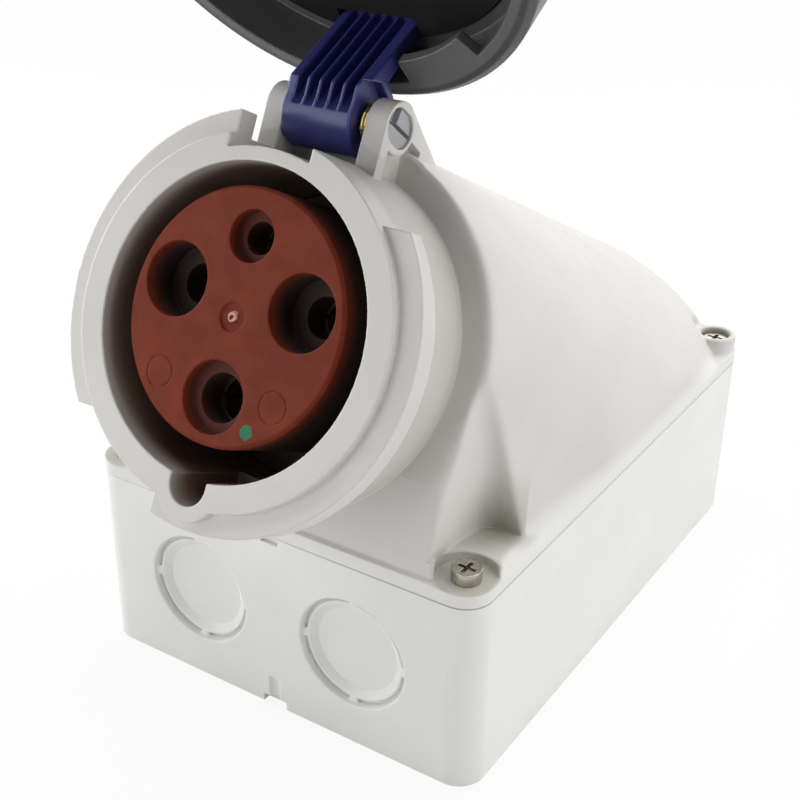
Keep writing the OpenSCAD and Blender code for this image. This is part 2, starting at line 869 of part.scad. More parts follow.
module bayonet_ring() {
    lip_s = flange_s - play;
    top_s = flange_top + play;
    front = top_s + lip_t;
    edge = 1.6;
    flutes = 20;
    flute_r = 5;
    flute_depth = 0.7;
    flute_set = 6;
    color("dimgray") at_lid() difference() {
        union() {
            rotate_extrude() polygon([[ring_in, ring_rear], [ring_r - edge, ring_rear],
                [ring_r, ring_rear + edge], [ring_r, front - 2 * edge], [ring_r - 2 * edge, front],
                [dome_r + play, front], [dome_r + play, top_s], [flange_out + play, top_s],
                [flange_out + play, lip_s], [lip_in, lip_s], [lip_in, lip_s - lip_t],
                [ring_in, lip_s - lip_t]]);
            for (a = [lug_start, lug_start + 180])
                rotate(a) rotate_extrude(angle = lug_angle)
                    translate([lug_in, ring_rear]) square([ring_in + over - lug_in, lug_t]);
        }
        for (i = [0:flutes - 1])
            rotate(i * 360 / flutes) translate([ring_r + flute_r - flute_depth, 0, 0])
                disc(flute_r, ring_rear + flute_set, front + over);
    }
}

// Hinge

module hinge_pin() {
    color("silver") at_socket()
        hinge_rod(pin_r, pin_end + fit - ear_x, ear_x - plug_depth - fit);
}

module pin_plug() {
    slot_w = 1;
    slot_depth = 2;
    step_in = 1.2;
    step_depth = 1.5;
    x1 = ear_x - plug_set;
    color("gray") at_socket() difference() {
        plug_body(plug_r, ear_x - plug_depth, x1);
        translate([x1, hinge_v, hinge_s]) rotate([0, 90, 0]) rotate(plug_turn) {
            translate([-far, -slot_w / 2, -slot_depth]) cube([2 * far, slot_w, far]);
            translate([-step_in - far, 0, -step_depth]) cube([far, far, far]);
        }
    }
}

// Sweeps a round wire along points
module wire(points, r, sides) {
    n = len(points);
    rings = [for (i = [0:n - 1])
        let (d = points[min(i + 1, n - 1)] - points[max(i - 1, 0)],
            t = d / norm(d),
            u = cross(t, abs(t[0]) > 0.9 ? [0, 0, 1] : [1, 0, 0]),
            a = u / norm(u),
            b = cross(t, a))
        for (k = [0:sides - 1])
            points[i] + r * cos(k * 360 / sides) * a + r * sin(k * 360 / sides) * b];
    polyhedron(rings, concat(
        [[for (k = [0:sides - 1]) k]],
        [[for (k = [sides - 1:-1:0]) (n - 1) * sides + k]],
        [for (i = [0:n - 2], k = [0:sides - 1])
            [i * sides + k, (i + 1) * sides + k,
                (i + 1) * sides + (k + 1) % sides, i * sides + (k + 1) % sides]]));
}

module hinge_spring() {
    coil_gap = 0.4;
    end_gap = 0.2;
    coil_r = pin_r + spring_bush + coil_gap + wire_d / 2;
    steps = 18;
    x0 = hub_x1 + end_gap + wire_d / 2;
    x1 = ear_gap - end_gap - wire_d / 2;
    start = 200;
    turns = 2.25;
    leg = 6;
    coil = [for (i = [0:steps * turns])
        let (t = i / (steps * turns), a = start + 360 * turns * t)
        [x0 + (x1 - x0) * t, hinge_v + coil_r * sin(a), hinge_s + coil_r * cos(a)]];
    first = coil[0];
    last = coil[len(coil) - 1];
    end = start + 360 * turns;
    color("gold") at_socket() wire(concat(
        [first + leg * [0, -cos(start), sin(start)]], coil,
        [last + leg * [0, cos(end), -sin(end)]]), wire_d / 2, 8);
}

base_box();
cover_housing();
cover_gasket();
cover_screws();
carrier_seal();
contact_carrier();
carrier_base();
carrier_screws();
live_contact();
neutral_contact();
earth_contact();
pilot_contact();
contact_rings();
terminal_screws();
lid_cap();
lid_gasket();
bayonet_ring();
hinge_pin();
pin_plug();
hinge_spring();
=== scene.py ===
"""Looks of a surface-mounted industrial wall socket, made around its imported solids."""

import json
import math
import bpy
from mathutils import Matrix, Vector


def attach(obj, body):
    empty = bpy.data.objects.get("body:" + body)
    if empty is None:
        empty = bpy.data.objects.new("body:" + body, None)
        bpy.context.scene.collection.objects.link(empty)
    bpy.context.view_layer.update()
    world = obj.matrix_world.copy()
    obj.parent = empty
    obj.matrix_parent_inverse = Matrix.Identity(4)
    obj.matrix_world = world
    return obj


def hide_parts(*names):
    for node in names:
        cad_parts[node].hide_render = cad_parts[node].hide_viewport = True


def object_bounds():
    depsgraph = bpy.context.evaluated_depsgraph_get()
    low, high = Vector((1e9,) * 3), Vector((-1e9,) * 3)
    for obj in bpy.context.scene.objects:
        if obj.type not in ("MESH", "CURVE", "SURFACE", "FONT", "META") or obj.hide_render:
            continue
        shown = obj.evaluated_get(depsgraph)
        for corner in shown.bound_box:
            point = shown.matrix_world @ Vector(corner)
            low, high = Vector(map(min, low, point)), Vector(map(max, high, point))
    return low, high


bl_info = {
    "name": "Industrial wall socket",
    "version": (1, 0, 0),
    "blender": (4, 5, 0),
    "location": "3D View > Sidebar > Wall socket",
    "description": "Softens the mouldings of a wall socket, finishes its surfaces and lights it",
    "category": "Object",
}

import bpy
import numpy as np
from bpy.props import FloatProperty, FloatVectorProperty, IntProperty, PointerProperty
from bpy.types import Operator, Panel, PropertyGroup
from mathutils import Matrix, Vector
from mathutils.bvhtree import BVHTree

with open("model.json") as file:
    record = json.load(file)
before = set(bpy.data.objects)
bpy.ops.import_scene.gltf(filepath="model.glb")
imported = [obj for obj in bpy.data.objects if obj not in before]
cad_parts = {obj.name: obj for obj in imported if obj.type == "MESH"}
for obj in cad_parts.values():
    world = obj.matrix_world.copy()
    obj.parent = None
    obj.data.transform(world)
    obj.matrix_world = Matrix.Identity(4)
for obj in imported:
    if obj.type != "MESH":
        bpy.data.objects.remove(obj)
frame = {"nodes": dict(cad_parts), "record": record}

MM = 0.001
SOLIDS = frame["nodes"]
RECORD = frame["record"]
CAD_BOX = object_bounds()
MOUNTS = {mount["name"]: mount for mount in RECORD["mounts"]}
BODY_OF = {
    node: body
    for body, members in RECORD["behaviour"]["bodies"].items()
    for node in members
}

# The socket's own axes: x across, y up the collar's face, z out along the plug's path
SEAT = Vector(MOUNTS["plug_seat"]["pos_m"])
SEAT_AXIS = Vector(MOUNTS["plug_seat"]["axis"])
SEAT_TURN = math.acos(SEAT_AXIS.z)

TWIST = {joint["name"]: joint for joint in RECORD["behaviour"]["joints"]}["ring_twist"]
RING_RADIUS = max(
    (Vector(corner.co) - Vector(TWIST["pos_m"])).cross(Vector(TWIST["axis"])).length
    for corner in SOLIDS["bayonet_ring"].data.vertices
)

# Axes of the cover screws and the knockouts from the middle of the box, in millimetres
SCREW_PLACE = (52.9, 77.9)
KNOCKOUT_PLACE = (24.7, 27.6)

SEAM_HEIGHT = 53.5 * MM
POCKET_CORNER = (50 * MM, -57 * MM, 60 * MM)
POCKET_REAR = -54.5 * MM
POCKET_LEAN = math.tan(math.radians(12.9))

# Front screw pockets: their floors and inner sides, and the hollow over a screw, in millimetres
POCKET_FLOOR = 57.5
POCKET_SIDE = 45.0
POCKET_SIDE_LEAN = math.tan(math.radians(5.1))
HOLLOW_RADIUS = 7.9
HOLLOW_FOOT = 61.6

# Slit behind a rear screw post: its place round the screw, and how far it is closed
SLIT_RADIUS = 7.3
SLIT_REACH = 0.75
SLIT_HEIGHTS = (58.0, 62.75)
SLIT_SIDE = -0.72
SLIT_FACING = 0.3
SLIT_RIM = (61.9, 62.4)
SLIT_PUSH = 3.0 * MM
SLIT_LIFT = 5.0 * MM

# Pairs of places between which painted shade fades on the cover, on the neck behind the wings
# and down the bore and its keyway, in the socket's axes
NECK_FRONT = (-5.0 * MM, -10.0 * MM)
NECK_REAR = (-30.8 * MM, -29.5 * MM)
NECK_RADIUS = (48.0 * MM, 46.5 * MM)
BORE_RADIUS = (36.5 * MM, 36.2 * MM)
BORE_LIP = (-0.1 * MM, -1.0 * MM)
BORE_SHADE = (-0.5 * MM, -8.0 * MM)
BORE_REAR = (-50.0 * MM, -48.0 * MM)
KEY_RADIUS = (5.4 * MM, 5.1 * MM)
KEY_DROP = 37.2 * MM

# Heights between which the cover turns as pale as the base
RIM_HEIGHT = (62 * MM, 56 * MM)

# Pairs of places between which painted shade fades near the cover screws and in the front
# pockets
RECESS_RADIUS = (9.0 * MM, 7.0 * MM)
RECESS_FLOOR = (56.9 * MM, 57.3 * MM)
RECESS_TOP = (64 * MM, 61.0 * MM)
POST_BORE = (5.0 * MM, 4.5 * MM)
FRONT_HALF = (1.0 * MM, -1.0 * MM)
POCKET_REACH = (18 * MM, 2 * MM)
POCKET_WIDTH = (57.5 * MM, 55 * MM)
POCKET_END = (1.0 * MM, 0.3 * MM)

# Marks on the carrier's face in the socket's axes. A wobble of up to 1.2 mm moves them
FACE_DEPTH = -1.5 * MM
TEST_DOT = (11.7 * MM, -21.7 * MM, FACE_DEPTH)
GATE_MARK = (0.7 * MM, 2.1 * MM, FACE_DEPTH)
GATE_BREAK = (0.5 * MM, 1.7 * MM, FACE_DEPTH)
MARK_WOBBLE = (1.2 * MM, 1.2 * MM, 0.0)

# Most triangles of each softened piece
TRIANGLES = {
    "base_box": 170000,
    "cover_housing": 195000,
    "cover_screws": 100000,
    "contact_carrier": 130000,
    "lid_cap": 150000,
    "bayonet_ring": 160000,
    "pin_plug": 40000,
}

# Soft boxes by their sides: where each one stands and how wide it is, in metres
LAMPS = {
    "right": ((0.9, 0.1, 0.3), 0.8),
    "front": ((-0.4, -1.0, 0.2), 0.9),
    "left": ((-0.9, -0.1, 0.4), 0.9),
    "top": ((0.0, 0.1, 1.1), 0.9),
    "rear": ((0.1, 0.8, 0.8), 0.9),
}
FLOOR_REACH = 20.0
FLOOR_FADE = (0.5, 1.2)


class SoftEdgeSettings(PropertyGroup):
    """How finely the mouldings are skinned and how far their edges are rounded."""

    housing_depth: IntProperty(
        name="Housing fineness",
        description="Halvings of the box round the base or the cover for its skin",
        default=9,
        min=5,
        max=10,
    )
    lid_depth: IntProperty(
        name="Lid fineness",
        description="Halvings of the box round the lid or its ring for its skin",
        default=8,
        min=5,
        max=10,
    )
    insert_depth: IntProperty(
        name="Insert fineness",
        description="Halvings of the box round the contact carrier for its skin",
        default=8,
        min=5,
        max=10,
    )
    screw_depth: IntProperty(
        name="Screw fineness",
        description="Halvings of the box round the cover screws for their skin",
        default=10,
        min=5,
        max=10,
    )
    plug_depth: IntProperty(
        name="Plug fineness",
        description="Halvings of the box round the hinge plug for its skin",
        default=7,
        min=5,
        max=10,
    )
    edge_passes: IntProperty(
        name="Edge rounding",
        description="Smoothing passes on every edge",
        default=3,
        min=0,
    )
    ridge_passes: IntProperty(
        name="Ridge rounding",
        description="Smoothing passes on the ridges of the shoulder and the screw pockets",
        default=90,
        min=0,
    )
    groove_passes: IntProperty(
        name="Groove rounding",
        description="Smoothing passes on the grooves of the knockouts",
        default=14,
        min=0,
    )
    hood_passes: IntProperty(
        name="Hood rounding",
        description="Smoothing passes on the flanks of the hood",
        default=300,
        min=0,
    )


def colour_property(name, description, default):
    return FloatVectorProperty(
        name=name,
        description=description,
        default=default,
        size=3,
        min=0.0,
        max=1.0,
        subtype="COLOR",
    )


class FinishSettings(PropertyGroup):
    """Colours of the mouldings and the metal, in linear light."""

    base: colour_property(
        "Base", "Light grey plastic of the base box", (0.79, 0.787, 0.765)
    )
    cover: colour_property(
        "Cover", "Slightly yellowed light grey plastic of the cover", (0.65, 0.637, 0.609)
    )
    carrier: colour_property(
        "Carrier", "Brick red plastic of the contact carrier", (0.176, 0.03, 0.0142)
    )
    lid: colour_property("Lid", "Dark blue plastic of the lid", (0.04, 0.041, 0.19))
    ring: colour_property(
        "Ring", "Dark grey plastic of the bayonet ring", (0.1, 0.096, 0.098)
    )
    rear: colour_property(
        "Rear block", "Grey plastic behind the carrier", (0.15, 0.15, 0.15)
    )
    plug: colour_property(
        "Hinge plug", "Grey plastic of the plug in the hinge", (0.37, 0.37, 0.38)
    )
    rubber: colour_property("Rubber", "Black rubber of the seals", (0.0068, 0.0068, 0.0068))
    steel: colour_property("Steel", "Plated steel of the screws", (0.44, 0.42, 0.36))
    brass: colour_property("Brass", "Brass of the contacts", (0.25, 0.17, 0.07))
    wire: colour_property(
        "Spring wire", "Yellow plating of the hinge spring", (0.62, 0.46, 0.16)
    )
    dot: colour_property(
        "Test dot", "Green paint dot on the carrier", (0.035, 0.19, 0.1)
    )
    gate: colour_property(
        "Gate mark", "Pale break where the carrier was gated", (0.62, 0.36, 0.29)
    )


class StageSettings(PropertyGroup):
    """Camera, lamps and floor."""

    camera_place: FloatVectorProperty(
        name="Camera place",
        description="Where the camera stands",
        default=(175.66 * MM, -297.41 * MM, 232.61 * MM),
        size=3,
        subtype="TRANSLATION",
        unit="LENGTH",
    )
    camera_turn: FloatProperty(
        name="Camera turn",
        description="Angle of the camera round the object",
        default=math.radians(32.842),
        unit="ROTATION",
    )
    camera_drop: FloatProperty(
        name="Camera drop",
        description="Angle by which the camera looks down",
        default=math.radians(27.16),
        unit="ROTATION",
    )
    camera_roll: FloatProperty(
        name="Camera roll",
        description="Roll of the camera about its own axis",
        default=math.radians(0.703),
        unit="ROTATION",
    )
    lens: FloatProperty(
        name="Lens",
        description="Focal length in millimetres on a 36 mm sensor",
        default=58.91,
        min=10.0,
    )
    right_power: FloatProperty(
        name="Right light",
        description="Power of the lamp on the right",
        default=5.0,
        min=0.0,
        unit="POWER",
    )
    front_power: FloatProperty(
        name="Front light",
        description="Power of the lamp in front",
        default=5.8,
        min=0.0,
        unit="POWER",
    )
    left_power: FloatProperty(
        name="Left light",
        description="Power of the lamp on the left",
        default=7.2,
        min=0.0,
        unit="POWER",
    )
    top_power: FloatProperty(
        name="Top light",
        description="Power of the lamp overhead",
        default=5.8,
        min=0.0,
        unit="POWER",
    )
    rear_power: FloatProperty(
        name="Rear light",
        description="Power of the lamp high up behind",
        default=6.0,
        min=0.0,
        unit="POWER",
    )
    ambient: FloatProperty(
        name="Ambient light",
        description="Strength of the light from all round",
        default=0.06,
        min=0.0,
    )
    floor_glow: FloatProperty(
        name="Floor glow",
        description="Share of plain white in the floor as the camera sees it",
        default=0.88,
        min=0.0,
        max=1.0,
        subtype="FACTOR",
    )


class Finish:
    """A procedural material on one Principled shader."""

    def __init__(self, name):
        self.material = bpy.data.materials.new(name)
        self.material.use_nodes = True
        self.tree = self.material.node_tree
        self.tree.nodes.clear()
        self.shader = self.add("BsdfPrincipled")
        self.output = self.add("OutputMaterial", Surface=self.shader.outputs[0])
        self.place = self.add("TexCoord").outputs["Object"]

    def add(self, kind, settings=None, **inputs):
        node = self.tree.nodes.new("ShaderNode" + kind)
        for key, value in (settings or {}).items():
            setattr(node, key, value)
        for key, value in inputs.items():
            self.put(node.inputs[key.replace("_", " ")], value)
        return node

    def put(self, socket, value):
        if isinstance(value, bpy.types.NodeSocket):
            self.tree.links.new(value, socket)
        else:
            socket.default_value = value

    def set(self, **inputs):
        for key, value in inputs.items():
            self.put(self.shader.inputs[key.replace("_", " ")], value)

    def noise(self, scale, detail=2.0, roughness=0.5, place=None):
        node = self.add(
            "TexNoise",
            Vector=place or self.place,
            Scale=scale,
            Detail=detail,
            Roughness=roughness,
        )
        return node.outputs["Fac"]

    def spread(self, value, low, high, to_low=0.0, to_high=1.0):
        node = self.add(
            "MapRange",
            {"interpolation_type": "SMOOTHSTEP"},
            Value=value,
            From_Min=low,
            From_Max=high,
            To_Min=to_low,
            To_Max=to_high,
        )
        return node.outputs["Result"]

    def math(self, operation, a, b=0.0):
        node = self.add("Math", {"operation": operation})
        self.put(node.inputs[0], a)
        self.put(node.inputs[1], b)
        return node.outputs[0]

    def mix(self, factor, a, b):
        node = self.add("Mix", {"data_type": "RGBA"})
        self.put(node.inputs[0], factor)
        self.put(node.inputs[6], paint(a))
        self.put(node.inputs[7], paint(b))
        return node.outputs[2]

    def bump(self, height, strength, distance):
        node = self.add("Bump", Height=height, Strength=strength, Distance=distance)
        self.put(self.shader.inputs["Normal"], node.outputs["Normal"])

    def edge(self):
        return self.add("Attribute", {"attribute_name": "edge"}).outputs["Fac"]

    def length(self, a, b):
        """Length of a line from its two parts."""
        return self.math("SQRT", self.math("ADD", self.square(a), self.square(b)))

    def reach(self, place, mark):
        """Distance of a place from a mark."""
        node = self.add("VectorMath", {"operation": "DISTANCE"})
        self.put(node.inputs[0], place)
        self.put(node.inputs[1], mark)
        return node.outputs["Value"]

    def square(self, value):
        return self.math("MULTIPLY", value, value)

    def base_colour(self):
        """What drives the shader's base colour so far."""
        return self.shader.inputs["Base Color"].links[0].from_socket

    def place_parts(self):
        return self.add("SeparateXYZ", Vector=self.place).outputs

    def seat_parts(self):
        """The three parts of the place in the socket's own axes, in metres."""
        return self.add("SeparateXYZ", Vector=self.seat_axes()).outputs

    def seat_axes(self):
        """Place in the socket's own axes, in metres."""
        node = self.add(
            "Mapping",
            {"vector_type": "TEXTURE"},
            Vector=self.place,
            Location=SEAT,
            Rotation=(SEAT_TURN, 0.0, 0.0),
        )
        return node.outputs["Vector"]


def paint(value):
    """A colour as a node socket takes it."""
    if isinstance(value, bpy.types.NodeSocket):
        return value
    return (*value[:3], 1.0)


def shade(colour, share):
    """A colour made lighter or darker."""
    return tuple(min(1.0, part * share) for part in colour[:3])


def tint(colour, shares):
    """A colour with each of its parts scaled."""
    return tuple(part * share for part, share in zip(colour, shares))


def moulded_plastic(name, colour, roughness, mottle=0.04, grain=0.25):
    """Plastic with faint clouding, a fine moulded grain, edges lighter where worn, and darker
    along concave edges.
    """
    finish = Finish(name)
    clouds = finish.spread(finish.noise(38.0, 4.0), 0.3, 0.7)
    base = finish.mix(clouds, shade(colour, 1.0 - mottle), shade(colour, 1.0 + mottle))
    edge = finish.edge()
    wear_and_painted_light = finish.spread(edge, 0.15, 0.8, 0.0, 0.35)
    base = finish.mix(wear_and_painted_light, base, shade(colour, 1.16))
    # Darker along concave edges
    crease_darkening = finish.spread(finish.math("MULTIPLY", edge, -1.0), 0.15, 0.8, 0.0, 0.3)
    base = finish.mix(crease_darkening, base, shade(colour, 0.82))
    gloss = finish.spread(
        finish.noise(160.0, 3.0), 0.25, 0.75, roughness - 0.05, roughness + 0.06
    )
    finish.set(Base_Color=base, Roughness=gloss)
    fine = finish.noise(2600.0, 2.0)
    wave = finish.noise(210.0, 2.0)
    height = finish.math("ADD", fine, finish.math("MULTIPLY", wave, 2.0))
    finish.bump(height, grain, 0.05 * MM)
    return finish


def base_plastic(colour):
    """Housing plastic with a dark line where the cover stands on it."""
    finish = moulded_plastic("base_plastic", colour, 0.46, 0.02)
    finish.set(Base_Color=seam(finish, finish.base_colour(), colour))
    return finish


def seam(finish, base, colour):
    """Darkens the joint between base and cover, least on its left."""
    x, y, z = finish.place_parts()
    off = finish.math("ABSOLUTE", finish.math("SUBTRACT", z, SEAM_HEIGHT))
    line = finish.spread(off, 0.3 * MM, 0.1 * MM)
    line = finish.math("MULTIPLY", line, finish.spread(x, -30 * MM, 55 * MM, 0.1, 0.55))
    return finish.mix(line, base, tint(colour, (0.3, 0.28, 0.24)))


def cover_plastic(colour, rim_colour):
    """Housing plastic, with painted shade on the neck behind the wings, down the bore and its
    keyway, and in the screw recesses and pocket corners.
    """
    finish = moulded_plastic("cover_plastic", colour, 0.44, 0.025)
    height = finish.place_parts()[2]
    rim = finish.spread(height, *RIM_HEIGHT, 0.0, 0.8)
    base = finish.mix(rim, finish.base_colour(), rim_colour)
    across, up, out = finish.seat_parts()
    radius = finish.length(across, up)
    # Painted shade on the neck behind the wings
    neck_shade = finish.spread(out, *NECK_FRONT, 0.0, 0.3)
    neck_shade = finish.math("MULTIPLY", neck_shade, finish.spread(radius, *NECK_RADIUS))
    neck_shade = finish.math("MULTIPLY", neck_shade, finish.spread(out, *NECK_REAR))
    base = finish.mix(neck_shade, base, tint(colour, (0.5, 0.49, 0.46)))
    # Painted shade down the bore and its keyway: a step just inside the lip, then darker with
    # depth, as far as the bore's rear
    bore = finish.spread(radius, *BORE_RADIUS)
    from_key = finish.length(across, finish.math("ADD", up, KEY_DROP))
    keyway = finish.spread(from_key, *KEY_RADIUS)
    lip_shade = finish.spread(out, *BORE_LIP, 0.0, 0.45)
    painted_depth_shade = finish.spread(out, *BORE_SHADE, 0.0, 0.55)
    dull = finish.math("MAXIMUM", bore, keyway)
    dull = finish.math("MULTIPLY", dull, finish.math("ADD", lip_shade, painted_depth_shade))
    dull = finish.math("MULTIPLY", dull, finish.spread(out, *BORE_REAR))
    base = finish.mix(dull, base, tint(colour, (0.36, 0.24, 0.19)))
    # Painted shade, patchy, in the screw recesses, the rear post bores and the pocket corners
    recess_shade = finish.math("MAXIMUM", screw_recess_shade(finish), pocket_recess_shade(finish))
    patchy = finish.spread(finish.noise(150.0, 3.0), 0.3, 0.7, 0.75, 1.0)
    recess_shade = finish.math("MULTIPLY", recess_shade, patchy)
    base = finish.mix(recess_shade, base, tint(colour, (0.42, 0.38, 0.3)))
    finish.set(Base_Color=seam(finish, base, colour))
    return finish


def screw_recess_shade(finish):
    """Painted shade, more the closer to a cover screw, in its recess in front or its post at the
    rear.
    """
    x, y, z = finish.place_parts()
    across = finish.math("SUBTRACT", finish.math("ABSOLUTE", x), SCREW_PLACE[0] * MM)
    along = finish.math("SUBTRACT", finish.math("ABSOLUTE", y), SCREW_PLACE[1] * MM)
    radius = finish.length(across, along)
    close = finish.spread(radius, *RECESS_RADIUS, 0.0, 0.5)
    in_front = finish.spread(y, *FRONT_HALF)
    in_post = finish.spread(radius, *POST_BORE)
    close = finish.math("MULTIPLY", close, finish.math("MAXIMUM", in_front, in_post))
    close = finish.math("MULTIPLY", close, finish.spread(z, *RECESS_FLOOR))
    return finish.math("MULTIPLY", close, finish.spread(z, *RECESS_TOP))


def pocket_recess_shade(finish):
    """Painted shade, more the closer to the inner corner of a screw pocket."""
    x, y, z = finish.place_parts()
    side = finish.math("ABSOLUTE", x)
    place = finish.add("CombineXYZ", X=side, Y=y, Z=z)
    off = finish.reach(place.outputs["Vector"], POCKET_CORNER)
    close = finish.spread(off, *POCKET_REACH, 0.0, 0.55)
    close = finish.math("MULTIPLY", close, finish.spread(side, *POCKET_WIDTH))
    above = finish.math("SUBTRACT", z, POCKET_FLOOR * MM)
    lean = finish.math("MULTIPLY", above, POCKET_LEAN)
    behind = finish.math("SUBTRACT", finish.math("SUBTRACT", y, lean), POCKET_REAR)
    return finish.math("MULTIPLY", close, finish.spread(behind, *POCKET_END))


def carrier_plastic(colour, dot_colour, gate_colour):
    """Brick red thermoset: cloudy and specked, with painted shade below its face, in its holes
    and down its side, and with a dot and a gate.
    """
    finish = Finish("brick_red_plastic")
    clouds = finish.spread(finish.noise(120.0, 5.0, 0.6), 0.3, 0.7)
    base = finish.mix(clouds, shade(colour, 0.86), shade(colour, 1.14))
    specks = finish.spread(finish.noise(1500.0, 3.0, 0.7), 0.62, 0.74, 0.0, 0.3)
    base = finish.mix(specks, base, shade(colour, 1.7))
    wear_and_painted_light = finish.spread(finish.edge(), 0.15, 0.8, 0.0, 0.3)
    base = finish.mix(wear_and_painted_light, base, shade(colour, 1.4))
    # Painted shade below the carrier's face, in its holes and down its side, darker and less red
    # with depth
    out = finish.seat_parts()[2]
    painted_depth_shade = finish.spread(out, FACE_DEPTH - 0.5 * MM, FACE_DEPTH - 6.0 * MM)
    base = finish.mix(painted_depth_shade, base, tint(colour, (0.3, 1.2, 2.2)))
    seat = finish.seat_axes()
    wobble = finish.add("TexNoise", Vector=seat, Scale=700.0, Detail=2.0)
    shift = finish.add("VectorMath", {"operation": "MULTIPLY_ADD"})
    finish.put(shift.inputs[0], wobble.outputs["Color"])
    finish.put(shift.inputs[1], MARK_WOBBLE)
    finish.put(shift.inputs[2], seat)
    uneven = shift.outputs["Vector"]
    gate = finish.spread(finish.reach(uneven, GATE_MARK), 1.45 * MM, 1.2 * MM)
    base = finish.mix(gate, base, gate_colour)
    broken = finish.spread(finish.reach(uneven, GATE_BREAK), 0.75 * MM, 0.45 * MM)
    base = finish.mix(broken, base, shade(colour, 0.3))
    painted = finish.spread(finish.reach(uneven, TEST_DOT), 1.75 * MM, 1.5 * MM)
    base = finish.mix(painted, base, dot_colour)
    gloss = finish.spread(finish.noise(300.0, 3.0), 0.25, 0.75, 0.5, 0.64)
    finish.set(Base_Color=base, Roughness=gloss, Specular_IOR_Level=0.12)
    finish.bump(finish.noise(1800.0, 3.0), 0.3, 0.06 * MM)
    return finish


def worn_metal(name, colour, roughness):
    """Plated metal with fine scratches and dull patches."""
    finish = Finish(name)
    patches = finish.spread(finish.noise(260.0, 4.0), 0.3, 0.7)
    base = finish.mix(patches, shade(colour, 0.82), shade(colour, 1.08))
    stretched = finish.add(
        "Mapping", Vector=finish.place, Scale=(1.0, 9.0, 1.0)
    ).outputs["Vector"]
    scratch = finish.noise(1400.0, 3.0, 0.6, stretched)
    gloss = finish.spread(scratch, 0.3, 0.7, roughness - 0.05, roughness + 0.07)
    finish.set(Base_Color=base, Metallic=1.0, Roughness=gloss)
    finish.bump(scratch, 0.05, 0.02 * MM)
    return finish


def lid_plastic(colour):
    """Blue plastic with painted light: paler from the hub up along the arm and over the top of
    the lid.
    """
    finish = moulded_plastic("lid_plastic", colour, 0.36, 0.08)
    z = finish.place_parts()[2]
    # Painted light: paler higher up, along the arm and over the lid's top
    wear_and_painted_light = finish.spread(z, 160 * MM, 180 * MM)
    finish.set(Base_Color=finish.mix(wear_and_painted_light, finish.base_colour(), shade(colour, 1.6)))
    return finish


def ring_plastic(colour):
    """Dark grey plastic, darkest on the ring's outer grip."""
    finish = moulded_plastic("ring_plastic", colour, 0.36, 0.06)
    offset = finish.add("VectorMath", {"operation": "SUBTRACT"})
    finish.put(offset.inputs[0], finish.place)
    finish.put(offset.inputs[1], TWIST["pos_m"])
    along = finish.add("VectorMath", {"operation": "DOT_PRODUCT"})
    finish.put(along.inputs[0], offset.outputs["Vector"])
    finish.put(along.inputs[1], TWIST["axis"])
    length = finish.reach(offset.outputs["Vector"], (0.0, 0.0, 0.0))
    along = finish.square(along.outputs["Value"])
    radius = finish.math("SQRT", finish.math("SUBTRACT", finish.square(length), along))
    grip = finish.spread(radius, RING_RADIUS - 3.4 * MM, RING_RADIUS - 2.8 * MM, 0.0, 0.9)
    finish.set(Base_Color=finish.mix(grip, finish.base_colour(), shade(colour, 0.4)))
    return finish


def rubber_skin(colour):
    """Dull black rubber with a bloom."""
    finish = Finish("black_rubber")
    bloom = finish.spread(finish.noise(90.0, 4.0), 0.35, 0.7)
    base = finish.mix(bloom, shade(colour, 0.8), shade(colour, 1.6))
    finish.set(Base_Color=base, Roughness=0.8, Specular_IOR_Level=0.2)
    finish.bump(finish.noise(1600.0, 2.0), 0.25, 0.05 * MM)
    return finish


def freeze(piece):
    """Turns a piece's modifiers into its mesh."""
    graph = bpy.context.evaluated_depsgraph_get()
    mesh = bpy.data.meshes.new_from_object(piece.evaluated_get(graph))
    piece.modifiers.clear()
    old = piece.data
    piece.data = mesh
    bpy.data.meshes.remove(old)


def vectors(collection, field):
    """A mesh collection's vectors as an array."""
    values = np.zeros(len(collection) * 3, np.float32)
    collection.foreach_get(field, values)
    return values.reshape(-1, 3)


def solid_normals(solid, points):
    """The nearest place on a solid to each point, and the solid's shading normal there."""
    mesh = solid.data
    mesh.calc_loop_triangles()
    count = len(mesh.loop_triangles)
    corners = np.zeros(count * 3, np.int32)
    mesh.loop_triangles.foreach_get("vertices", corners)
    loops = np.zeros(count * 3, np.int32)
    mesh.loop_triangles.foreach_get("loops", loops)
    corners = corners.reshape(-1, 3)
    loops = loops.reshape(-1, 3)
    places = vectors(mesh.vertices, "co").astype(float)
    normals = vectors(mesh.corner_normals, "vector").astype(float)
    tree = BVHTree.FromPolygons(places.tolist(), corners.tolist())
    found = [tree.find_nearest(point) for point in points.tolist()]
    near = np.array([hit[0] for hit in found])
    which = np.array([hit[2] for hit in found])
    a, b, c = (places[corners[which, k]] for k in range(3))
    weights = barycentric(near, a, b, c)
    blended = np.einsum("nk,nkd->nd", weights, normals[loops[which]])
    return near, unit(blended)


def barycentric(p, a, b, c):
    """Weights of a triangle's corners at a point in it."""
    e0, e1, e2 = b - a, c - a, p - a
    d00 = (e0 * e0).sum(1)
    d01 = (e0 * e1).sum(1)
    d11 = (e1 * e1).sum(1)
    d20 = (e2 * e0).sum(1)
    d21 = (e2 * e1).sum(1)
    area = np.maximum(d00 * d11 - d01 * d01, 1e-24)
    v = np.clip((d11 * d20 - d01 * d21) / area, 0.0, 1.0)
    w = np.clip((d00 * d21 - d01 * d20) / area, 0.0, 1.0)
    return np.stack([1.0 - v - w, v, w], axis=1)


def unit(rows):
    return rows / np.maximum(np.linalg.norm(rows, axis=1, keepdims=True), 1e-9)


